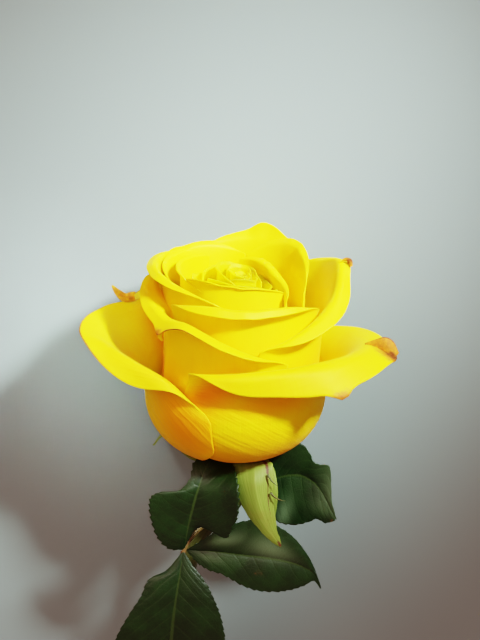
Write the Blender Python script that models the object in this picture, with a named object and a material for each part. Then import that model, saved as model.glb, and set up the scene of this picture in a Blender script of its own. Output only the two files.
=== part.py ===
"""A cut yellow rose laid down on its back petals and on the end of its stem.

The flower is laid out in its own frame, in millimetres: origin where the petals join the receptacle,
z up along the flower's axis, x to the right and -y towards the side that faces up once the rose lies.
Azimuths are in degrees round that axis, 0 at the right, 90 at the underside and 270 at the upper side.
lay_down() then turns the whole rose over and sets it on the surface, in metres.
"""

import math
from collections import namedtuple

import bmesh
import bpy
import numpy as np
from mathutils import Matrix, Vector

MM = 0.001

# How the rose lies: the slope of the flower's axis, and where the flower's origin ends up.
AXIS_SLOPE = 9.7
FLOWER_AT = (-0.5, 52.1, 32.23)

PETAL_THICK = 0.35
CREST_BEND = 3.8
LEAF_THICK = 0.5
SEPAL_THICK = 0.6
GAP = 0.3

# Share of a petal's height, as the rows of its mesh count it, below the waist of the cup and below its crest;
# the rest is the lip, which folds over in the first part of its length and runs straight in the rest.
CUP_SHARE = 0.4
WALL_SHARE = 0.7
FOLD_SHARE = 0.45
CLAW_WIDTH = 0.4

# Where petals join: the outermost petal's radius and height, and the step inwards and up to the next.
JOIN_RADIUS = 6.6
JOIN_HEIGHT = -1.4
JOIN_STEP_IN = 0.2
JOIN_STEP_UP = 0.45

CUP_HEIGHT = 15.5
CUP_RISE_INWARD = 0.25
WIDEST_CUP = 24.0

GOLDEN_ANGLE = 137.5
HEART_PETALS = 9
HEART_CUP = 14.6
HEART_STEP = 1.15
HEART_AZIMUTH = 289.5

COLOURS = {
    "petal": ((0.95, 0.80, 0.03), 0.55),
    "leaf": ((0.05, 0.13, 0.03), 0.4),
    "sepal": ((0.42, 0.52, 0.16), 0.5),
    "stem": ((0.20, 0.26, 0.08), 0.5),
    "prickle": ((0.40, 0.16, 0.08), 0.45),
}

# A petal: evenly spaced values across it, from its clockwise edge to the other, for the height of its crest,
# how far the crest flares out past the cup, its slope from upright there, and the length and turn of the lip.
# narrow is the share by which each side draws in towards the top, corners the share cut off at each edge to
# round it, and peaks are (place, breadth, out, up) of its points.
Petal = namedtuple("Petal", "name azimuth spread cup crest flare lean lip curl narrow corners peaks")

OUTER_PETALS = [
    Petal("guard_petal_under", 92, 60, 25.0, (34, 33, 32, 32, 34), (4, 15.2, 10.6, 17, 8),
          (30, 50, 60, 50, 35), (2, 3, 3, 3, 2), (10, 20, 30, 20, 10), (0, 0), (0.42, 0.42), ()),
    Petal("guard_petal_left", 188, 67, 24.0, (36, 34.5, 33, 31.5, 27.6, 25, 20.5), (4, 6, 9, 12, 6.0, 1.4, 1.1),
          (30, 40, 50, 60, 70, 70, 55), (3, 4.5, 5.2, 5.4, 8.6, 7.6, 3), (10, 10, 10, 10, 15, 50, 60),
          (0, 0.33), (0.40, 0.45), ((-0.62, 0.06, 1.0, 3.0),)),
    Petal("guard_petal_right", 308, 76, 23.1, (27.8, 28.8, 29.6, 30.5, 32, 30.3, 28), (0.3, 0.8, 1.7, 4.8, 9.8, 11, 6),
          (50, 75, 75, 75, 80, 80, 50), (2.5, 6.3, 7.2, 10, 8.5, 6.5, 2.5), (60, 95, 90, 65, 35, 20, 20),
          (0.17, 0), (0.26, 0.36), ((0.1, 0.05, 1.4, -0.8), (0.51, 0.07, 2.8, -0.5))),
    Petal("outer_petal_left", 240, 65, 22.0, (47, 43.7, 40.5, 39.8, 36.4, 32.6, 29.2), (0.5, 0.2, 0, 0.3, 0.9, 0.9, 0.1),
          (50, 60, 65, 60, 65, 60, 30), (3.6, 4.4, 4.6, 3.2, 3.4, 3, 1), (60, 70, 85, 50, 45, 40, 30),
          (0, 0), (0.30, 0.30), ((-0.31, 0.06, 1.2, -2.5),)),
    Petal("outer_petal_right", 348, 63, 21.0, (33.3, 36, 39.5, 43.6, 48, 47, 45), (0.3, 1.2, 2.6, 4.4, 5.6, 5.2, 3.5),
          (40, 55, 60, 55, 45, 30, 20), (1.5, 3.7, 4.9, 4.4, 2.5, 1.5, 1), (60, 70, 60, 80, 80, 40, 20),
          (0, 0), (0.30, 0.30), ((0.27, 0.06, 1.5, 1.4),)),
    Petal("outer_petal_back", 146, 52, 20.4, (50, 49.5, 48.7, 47.5, 44), (0.8, 1.2, 1.2, 0.6, -0.3),
          (15, 25, 30, 20, 10), (1.5, 1.8, 2, 1.8, 1.2), (30, 30, 40, 40, 30), (0, 0), (0.32, 0.32), ()),
    Petal("middle_petal_front", 274, 56, 19.9, (43.2, 44.6, 43.9, 43.5, 42), (0, 0.5, 0.6, 0.5, 0.2),
          (30, 65, 65, 65, 30), (1.5, 2.8, 2.8, 2.4, 1.2), (40, 75, 75, 75, 40), (0, 0), (0.28, 0.28), ()),
    Petal("middle_petal_left", 200, 62, 19.1, (49.5, 50.5, 49.8, 46.8, 43), (0.6, 1.2, 1.3, -0.5, -1.8),
          (20, 45, 50, 35, 20), (2, 2.6, 2.6, 1.8, 0.6), (40, 60, 80, 70, 30), (0, 0), (0.30, 0.28), ()),
    Petal("middle_petal_back", 72, 52, 18.4, (49, 51, 51.6, 51, 49), (0.3, 0.7, 1.0, 0.8, 0.4),
          (10, 15, 20, 15, 10), (1.5, 2, 2.5, 2, 1.5), (20, 30, 30, 30, 20), (0, 0), (0.34, 0.34),
          ((-0.08, 0.26, 0, 2.8),)),
    Petal("middle_petal_right", 32, 50, 17.5, (46, 51.2, 52.2, 51, 48), (0, 0.4, 0.5, 0.3, 0.1),
          (10, 15, 20, 15, 10), (1, 2, 2, 2, 1), (20, 30, 30, 30, 20), (0.25, 0), (0.32, 0.32), ()),
    Petal("inner_petal_back", 152, 48, 16.5, (48, 49.5, 49.8, 49, 47), (-0.8, -0.6, -0.5, -0.6, -1.0),
          (5, 15, 20, 15, 5), (1, 1.5, 1.5, 1.5, 1), (20, 30, 30, 30, 20), (0, 0), (0.28, 0.28), ()),
    Petal("inner_petal_right", 15, 64, 16.3, (43.5, 46.2, 47.6, 48.2, 47.5), (-0.5, -0.7, -1.0, -1.4, -1.8),
          (20, 30, 35, 25, 10), (1.0, 1.6, 1.6, 1.2, 0.8), (60, 80, 80, 50, 30), (0, 0), (0.28, 0.28), ()),
    Petal("inner_petal_front", 260, 57, 15.4, (45.8, 47, 47, 46.8, 45.5), (0.8, 0.6, 0.2, -0.4, -0.9),
          (10, 25, 30, 25, 10), (0.8, 1.2, 1.2, 1.2, 0.8), (40, 60, 60, 60, 40), (0, 0), (0.26, 0.26), ()),
]

# A leaf blade or sepal: four points that its midrib follows, the way its upper face looks, its half width,
# the share of its length at which it is widest, how far its sides fold up in degrees, and how far they droop.
Blade = namedtuple("Blade", "name midrib face half_width widest fold droop")


def heart_petals():
    """The furled heart: ever tighter petals, a golden angle apart, the ones behind a little taller."""
    petals = []
    for i in range(HEART_PETALS):
        azimuth = (HEART_AZIMUTH + GOLDEN_ANGLE * i) % 360
        behind = math.sin(math.radians(azimuth))
        top = 47.4 + 1.6 * behind
        petals.append(Petal(
            f"heart_petal_{i + 1:02d}", azimuth, 62 + 2.0 * i, HEART_CUP - HEART_STEP * i,
            (top - 1.5, top, top + 0.6, top, top - 1.5), (-1.3, -1.2, -1.1, -1.2, -1.3),
            (0, 6, 10, 6, 0), (1, 1.5, 1.5, 1.5, 1), (10, 25, 30, 25, 10), (0, 0), (0.24, 0.24), (),
        ))
    return petals


def across(values, s):
    """The smooth curve through evenly spaced values, read at s from -1 to 1."""
    values = np.asarray(values, float)
    last = len(values) - 1
    place = (np.clip(s, -1, 1) + 1) / 2 * last
    i = np.minimum(place.astype(int), last - 1)
    u = place - i
    before = np.where(i > 0, values[np.maximum(i - 1, 0)], 2 * values[i] - values[i + 1])
    after = np.where(i + 2 <= last, values[np.minimum(i + 2, last)], 2 * values[i + 1] - values[i])
    here, there = values[i], values[i + 1]
    return 0.5 * (2 * here + (there - before) * u + (2 * before - 5 * here + 4 * there - after) * u**2
                  + (3 * here - before - 3 * there + after) * u**3)


def smooth(x):
    x = np.clip(x, 0, 1)
    return x * x * (3 - 2 * x)


def lowest(z):
    """How far back a point at height z can be before it's in the surface that the rose lies on."""
    slope = math.radians(AXIS_SLOPE)
    return (FLOWER_AT[2] + z * math.sin(slope)) / math.cos(slope)


def petal_points(petal, order, s, t):
    """Points of a petal's middle surface at s across and t up, in millimetres. order counts petals inwards."""
    left = s < 0
    t = t - np.where(left, *petal.corners) * s**4 * t**2
    foot_r = JOIN_RADIUS - JOIN_STEP_IN * order
    foot_z = JOIN_HEIGHT + JOIN_STEP_UP * order
    waist_z = CUP_HEIGHT + CUP_RISE_INWARD * (WIDEST_CUP - petal.cup)
    crest_r = petal.cup + across(petal.flare, s)
    crest_z = across(petal.crest, s)
    lean = np.radians(across(petal.lean, s))
    lip = across(petal.lip, s)
    curl = np.radians(across(petal.curl, s))

    swing = np.clip(t / CUP_SHARE, 0, 1) * math.pi / 2
    r = foot_r + (petal.cup - foot_r) * np.sin(swing)
    z = foot_z + (waist_z - foot_z) * (1 - np.cos(swing))

    u = np.clip((t - CUP_SHARE) / (WALL_SHARE - CUP_SHARE), 0, 1)
    low_z = waist_z + 0.4 * (crest_z - waist_z)
    high_r = crest_r - CREST_BEND * np.sin(lean)
    high_z = crest_z - CREST_BEND * np.cos(lean)
    wall_r = ((1 - u) ** 3 + 3 * u * (1 - u) ** 2) * petal.cup + 3 * u**2 * (1 - u) * high_r + u**3 * crest_r
    wall_z = (1 - u) ** 3 * waist_z + 3 * u * (1 - u) ** 2 * low_z + 3 * u**2 * (1 - u) * high_z + u**3 * crest_z
    on_wall = t > CUP_SHARE
    r, z = np.where(on_wall, wall_r, r), np.where(on_wall, wall_z, z)

    w = np.clip((t - WALL_SHARE) / (1 - WALL_SHARE), 0, 1)
    folded, straight = np.minimum(w, FOLD_SHARE) * lip, np.maximum(w - FOLD_SHARE, 0) * lip
    bend = curl / (FOLD_SHARE * lip)
    turned = lean + bend * folded
    r = r + (np.cos(lean) - np.cos(turned)) / bend + straight * np.sin(turned)
    z = z + (np.sin(turned) - np.sin(lean)) / bend + straight * np.cos(turned)
    for place, breadth, out, up in petal.peaks:
        rise = w**2 * np.exp(-(((s - place) / breadth) ** 2))
        r = r + out * rise
        z = z + up * rise

    width = CLAW_WIDTH + (1 - CLAW_WIDTH) * smooth(t / (CUP_SHARE * 0.7))
    width = width * (1 - np.where(left, *petal.narrow) * smooth((t - 0.35) / 0.65))
    azimuth = np.radians(petal.azimuth + s * petal.spread * width)
    x, y = r * np.cos(azimuth), r * np.sin(azimuth)
    return np.stack([x, np.minimum(y, lowest(z) - PETAL_THICK / 2), z], axis=-1)


def grid_object(name, columns, rows, surface, thick, material):
    """A closed sheet: a grid whose corners run s from -1 to 1 and t from 0 to 1, moved onto surface(s, t)."""
    bm = bmesh.new()
    bmesh.ops.create_grid(bm, x_segments=columns, y_segments=rows, size=1)
    grid = np.array([v.co for v in bm.verts])
    s = grid[:, 0] * (1.25 - 0.25 * grid[:, 0] ** 2)
    t = (grid[:, 1] + 1) / 2
    for vertex, point in zip(bm.verts, surface(s, t)):
        vertex.co = Vector(point) * MM
    mesh = bpy.data.meshes.new(name)
    bm.to_mesh(mesh)
    bm.free()
    mesh.materials.append(material)
    mesh.shade_smooth()
    obj = bpy.data.objects.new(name, mesh)
    solid = obj.modifiers.new("thickness", "SOLIDIFY")
    solid.thickness = thick * MM
    solid.offset = 0
    bpy.context.scene.collection.objects.link(obj)
    return obj


def bezier(points, t):
    """Points and directions along a cubic curve with four control points."""
    a, b, c, d = (np.asarray(p, float) for p in points)
    t = t[:, None]
    place = (1 - t) ** 3 * a + 3 * t * (1 - t) ** 2 * b + 3 * t**2 * (1 - t) * c + t**3 * d
    way = 3 * (1 - t) ** 2 * (b - a) + 6 * t * (1 - t) * (c - b) + 3 * t**2 * (d - c)
    return place, way / np.linalg.norm(way, axis=1, keepdims=True)


def stem_line(t):
    """Points and directions along the stem at t from 0 at the receptacle to 1 at the cut end."""
    place, ahead, behind = (
        np.stack([across(values, 2 * np.clip(t + step, 0, 1) - 1) for values in zip(*STEM_BENDS)], axis=-1)
        for step in (0, 0.004, -0.004))
    way = ahead - behind
    return place, way / np.linalg.norm(way, axis=1, keepdims=True)


def blade_points(blade, s, t):
    """Points of a leaf blade's middle surface at s across and t from its base to its tip, in millimetres."""
    rib, way = bezier(blade.midrib, t)
    side = np.cross(way, np.asarray(blade.face, float))
    side /= np.linalg.norm(side, axis=1, keepdims=True)
    up = np.cross(side, way)
    power = math.log(0.5) / math.log(blade.widest)
    width = blade.half_width * np.maximum(np.sin(math.pi * t**power) ** 0.8, 0.05)
    fold = math.radians(blade.fold)
    off = np.abs(s) * width
    lift = off * math.sin(fold) - blade.droop * (off / blade.half_width) ** 2
    return rib + (s * width * math.cos(fold))[:, None] * side + lift[:, None] * up


def tube(name, points, radii, sides, material):
    """A round tapering stem through the given points, closed at both ends."""
    curve = bpy.data.curves.new(name, "CURVE")
    curve.dimensions = "3D"
    curve.bevel_depth = MM
    curve.bevel_resolution = sides // 2 - 2
    curve.use_fill_caps = True
    spline = curve.splines.new("POLY")
    spline.points.add(len(points) - 1)
    for spot, point, radius in zip(spline.points, points, radii):
        spot.co = (*(c * MM for c in point), 1)
        spot.radius = radius
    curve.materials.append(material)
    obj = bpy.data.objects.new(name, curve)
    bpy.context.scene.collection.objects.link(obj)
    return obj


def bezier_tube(name, controls, radii, steps, sides, material):
    t = np.linspace(0, 1, steps + 1)
    points, _ = bezier(controls, t)
    widths = np.interp(t, np.linspace(0, 1, len(radii)), radii)
    return tube(name, points, widths, sides, material)


def material(name):
    colour, roughness = COLOURS[name]
    made = bpy.data.materials.new(name)
    made.use_nodes = True
    shader = made.node_tree.nodes["Principled BSDF"]
    shader.inputs["Base Color"].default_value = (*colour, 1)
    shader.inputs["Roughness"].default_value = roughness
    return made


def petals():
    finish = material("petal")
    for order, petal in enumerate(OUTER_PETALS + heart_petals()):
        columns = 10 if petal in OUTER_PETALS else 8
        grid_object(petal.name, columns, 10,
                    lambda s, t, p=petal, n=order: petal_points(p, n, s, t), PETAL_THICK, finish)


# The stem leaves the receptacle straight down, bends left behind the leaf and runs on down to its cut end.
RECEPTACLE_BOTTOM = -13.0
STEM_END = (-17.0, 2.0, -165.0)
STEM_BENDS = [(0, 0, RECEPTACLE_BOTTOM - 2 * GAP), (-0.5, 0, -16.5), (-4.2, 0, -19.9), (-8.7, 0, -24.4),
              (-12.2, 0.1, -31.0), (-14.2, 0.2, -40.0), (-15.2, 0.4, -53.0), (-15.8, 0.8, -72.0), (-16.2, 1.2, -99.0),
              (-16.6, 1.6, -131.0), STEM_END]
STEM_RADII = (1.7, 2.1, 2.2, 2.2, 2.3, 2.3, 2.4, 2.4, 2.5)


def receptacle():
    """The hip: it swells from the stem to the rim that holds the sepals, with a cone that the petals sit on."""
    cone_top = JOIN_HEIGHT + 9.4
    profile = [(0, RECEPTACLE_BOTTOM), (1.9, RECEPTACLE_BOTTOM), (2.6, -11.5), (4.4, -9.5), (5.0, -7.0),
               (4.8, -4.5), (5.4, -2.8), (6.1, -2.2), (JOIN_RADIUS - 0.4, JOIN_HEIGHT - 0.1),
               (JOIN_RADIUS - 0.4 - 9.5 * JOIN_STEP_IN / JOIN_STEP_UP, cone_top), (0, cone_top + 0.3)]
    bm = bmesh.new()
    verts = [bm.verts.new((r * MM, 0, z * MM)) for r, z in profile]
    edges = [bm.edges.new(pair) for pair in zip(verts, verts[1:])]
    bmesh.ops.spin(bm, geom=verts + edges, cent=(0, 0, 0), axis=(0, 0, 1), angle=math.tau, steps=16,
                   use_merge=True)
    bmesh.ops.remove_doubles(bm, verts=bm.verts, dist=1e-6)
    bmesh.ops.recalc_face_normals(bm, faces=bm.faces)
    mesh = bpy.data.meshes.new("receptacle")
    bm.to_mesh(mesh)
    bm.free()
    mesh.materials.append(material("sepal"))
    mesh.shade_smooth()
    bpy.context.scene.collection.objects.link(bpy.data.objects.new("receptacle", mesh))


SEPALS = [
    Blade("sepal_front", [(2.1, -5.9, -2.8), (3, -12, -3.2), (6, -15.5, -9.5), (10.6, -14.5, -23.5)],
          (0.2, -1, -0.2), 4.3, 0.16, 8, 0.6),
    Blade("sepal_right", [(6.1, -1.5, -2.9), (10, -6.0, -4.2), (10.5, -9, -11), (9.5, -8, -20)],
          (0.8, -0.8, 0), 3.6, 0.16, 10, 0.4),
    Blade("sepal_back_right", [(3.3, 5.3, -2.9), (7, 12, -5), (9, 16, -12), (8, 17, -24)],
          (0.4, 1, 0), 4.2, 0.16, 10, 0.5),
    Blade("sepal_back_left", [(-3.5, 5.2, -2.9), (-7, 11, -4.5), (-9.5, 14.5, -9), (-10.5, 15, -20)],
          (-0.6, 0.8, 0), 4.2, 0.16, 10, 0.5),
    Blade("sepal_left", [(-6.2, 0.9, -2.9), (-12, 2.0, -3.4), (-18.5, 3.5, 4.5), (-22.5, 4.0, -1.8)],
          (0, 0, -1), 3.4, 0.16, 12, 0.4),
]

LEAFLETS = [
    Blade("leaflet_upper", [(-13.6, -9.9, -23.2), (-12.8, -13, -17.5), (-8.6, -14, -9.8), (-2.8, -8.6, -3.5)],
          (-0.3, -1, 0.1), 12.0, 0.42, 12, 1.5),
    Blade("leaflet_right", [(-13.0, -9.8, -24.8), (-4, -13.5, -24.5), (9, -14.5, -28.5), (22, -11, -36.5)],
          (0.1, -1, 0.25), 9.6, 0.45, 8, 1.0),
    Blade("leaflet_end", [(-14.9, -10.5, -29.4), (-16.5, -14, -40), (-17.5, -15.5, -55), (-19, -10, -70)],
          (0.1, -1, 0.1), 15.0, 0.5, 10, 1.5),
    Blade("bract_leaf", [(6.0, 0.9, -13.3), (12, 0.5, -10.5), (20.5, -1, -10.5), (25, -5, -20.5)],
          (0.1, -1, 0.25), 10.8, 0.5, 6, 1.2),
]
PRICKLES = [(0.56, 200), (0.66, 330), (0.74, 110), (0.83, 250), (0.92, 20)]


def greenery():
    stem_finish, leaf_finish = material("stem"), material("leaf")
    t = np.linspace(0, 1, 31)
    tube("stem", stem_line(t)[0], np.interp(t, np.linspace(0, 1, len(STEM_RADII)), STEM_RADII), 12, stem_finish)
    for sepal in SEPALS:
        grid_object(sepal.name, 4, 9, lambda s, t, b=sepal: blade_points(b, s, t), SEPAL_THICK,
                    bpy.data.materials["sepal"])
    for blade in LEAFLETS:
        grid_object(blade.name, 8, 9, lambda s, t, b=blade: blade_points(b, s, t), LEAF_THICK, leaf_finish)
    bezier_tube("leaf_stalk", [(-6.0, -3.0, -20.3), (-8.5, -6.0, -20.0), (-13, -8, -21.5), (-14.6, -9.8, -28.6)],
                (1.3, 0.9, 0.8, 0.7, 0.6), 8, 8, stem_finish)
    bezier_tube("bract_stalk", [(2.4, 0.5, -15.6), (3.4, 0.6, -15.0), (4.4, 0.8, -14.2), (5.5, 0.9, -13.6)],
                (0.9, 0.8, 0.6), 3, 8, stem_finish)


def prickles():
    """Short hooked prickles on the lower stem, their broad feet a gap off its skin."""
    finish = material("prickle")
    for number, (share, azimuth) in enumerate(PRICKLES, 1):
        (centre,), (way,) = stem_line(np.array([share]))
        turn = math.radians(azimuth)
        out = np.array([math.cos(turn), math.sin(turn), 0])
        out -= way * out.dot(way)
        out /= np.linalg.norm(out)
        skin = float(np.interp(share, np.linspace(0, 1, len(STEM_RADII)), STEM_RADII))
        foot = centre + out * (skin + GAP)
        tip = foot + out * 4.2 + way * 1.6
        bezier_tube(f"prickle_{number}", [foot, foot + out * 1.4, foot + out * 3.0, tip],
                    (1.3, 0.75, 0.45, 0.12), 4, 8, finish)


def lay_down():
    """Turns the upright rose onto its back petals, its axis sloping, and sets it on the surface."""
    turned = Matrix.Rotation(math.radians(AXIS_SLOPE - 90), 4, "X")
    placed = Matrix.Translation(Vector(FLOWER_AT) * MM)
    for obj in bpy.context.scene.objects:
        obj.matrix_world = placed @ turned @ obj.matrix_world


def main():
    for obj in list(bpy.data.objects):
        bpy.data.objects.remove(obj)
    petals()
    receptacle()
    greenery()
    prickles()
    lay_down()


main()
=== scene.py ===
"""The looks of a cut yellow rose, laid on its back petals and on the end of its stem.

Every piece is laid out in the rose's own frame, in millimetres: origin where the petals join, z up along the
flower's axis, x to the right and -y towards the side that faces up. laid() then puts points in the row frame.
On each sheet s runs across from -1 to 1 and t runs up, or out to the tip, from 0 to 1.
"""

import math
from collections import namedtuple

import bmesh
import bpy
import numpy as np
from mathutils import Matrix, Vector


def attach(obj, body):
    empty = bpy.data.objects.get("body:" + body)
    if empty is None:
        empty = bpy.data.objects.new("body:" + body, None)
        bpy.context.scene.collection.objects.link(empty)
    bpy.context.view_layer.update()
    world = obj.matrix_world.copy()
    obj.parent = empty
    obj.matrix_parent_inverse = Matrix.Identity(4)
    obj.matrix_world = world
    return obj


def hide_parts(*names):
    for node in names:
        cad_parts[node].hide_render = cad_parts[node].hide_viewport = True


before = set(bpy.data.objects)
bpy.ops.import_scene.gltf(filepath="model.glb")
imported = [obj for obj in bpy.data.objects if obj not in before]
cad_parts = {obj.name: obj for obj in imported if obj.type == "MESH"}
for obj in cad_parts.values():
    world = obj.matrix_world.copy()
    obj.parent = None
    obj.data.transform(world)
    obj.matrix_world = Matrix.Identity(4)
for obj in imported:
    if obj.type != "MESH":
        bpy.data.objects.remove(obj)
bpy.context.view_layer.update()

SCENE = bpy.context.scene
MM = 0.001

# How the rose lies: the slope of the flower's axis, and where the flower's origin is.
AXIS_SLOPE = 9.7
FLOWER_AT = (-0.5, 52.1, 32.23)

# How thick the sheets are.
PETAL_THICK = 0.3
SCRAP_THICK = 0.22
LEAF_THICK = 0.4
SEPAL_THICK = 0.45

# The side view that all petals share. The outermost petal joins the hip at JOIN_RADIUS and JOIN_HEIGHT, and
# each further one a step inwards and up. The cup ends at CUP_HEIGHT, or higher where it's a narrower one.
JOIN_RADIUS = 6.6
JOIN_HEIGHT = -1.4
JOIN_STEP_IN = 0.2
JOIN_STEP_UP = 0.45
WIDEST_CUP = 24.0
CUP_HEIGHT = 15.5
CUP_RISE_INWARD = 0.25
WALL_HANDLE = 0.4
CREST_BEND = 3.8

# Shares of a petal from foot to rim: where the cup ends, where the wall ends and the lip starts, and from where
# its sides draw in and its rim ripples. FOLD_SHARE is the part of the lip that bends, before it runs straight.
CUP_SHARE = 0.4
WALL_SHARE = 0.7
NARROW_FROM = 0.35
RIPPLE_FROM = 0.5
FOLD_SHARE = 0.45

# A petal's foot is this share of its full width, which it reaches at this share of the cup.
CLAW_WIDTH = 0.4
CLAW_SHARE = 0.7

# How softly a dent ends across a petal and up it, and how far a ripple moves the rim out and up.
DENT_SOFT_ACROSS = 0.05
DENT_SOFT_UP = 0.14
RIPPLE_OUT = 0.4
RIPPLE_UP = 0.7

# A petal: evenly spaced values across it, from its clockwise edge to the other, for the height of its crest,
# how far the crest flares past the cup, its slope from upright there, and the length and turn of the lip.
# corners rounds each side, ripple is (size, waves, start) of the wavy rim, narrow draws each side in towards
# the top, and peaks are (place, breadth, out, up) of points. dried is (place, up, breadth, height, strength) of
# each browned spot, and the painted shade spots are the same for places painted more orange where the bloom
# shades itself. dents are (first, last, low, high, out) of places pushed in or out. shift is how far its top
# stands off the flower's axis.
Petal = namedtuple("Petal", "name azimuth spread cup crest flare lean lip curl corners ripple narrow peaks "
                   "dried dents warm shift", defaults=((0, 0), (), (), (), (), (0, 0)))

# Where a petal's lip or its neighbours shade it, its painted shade spots paint it orange.
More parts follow.
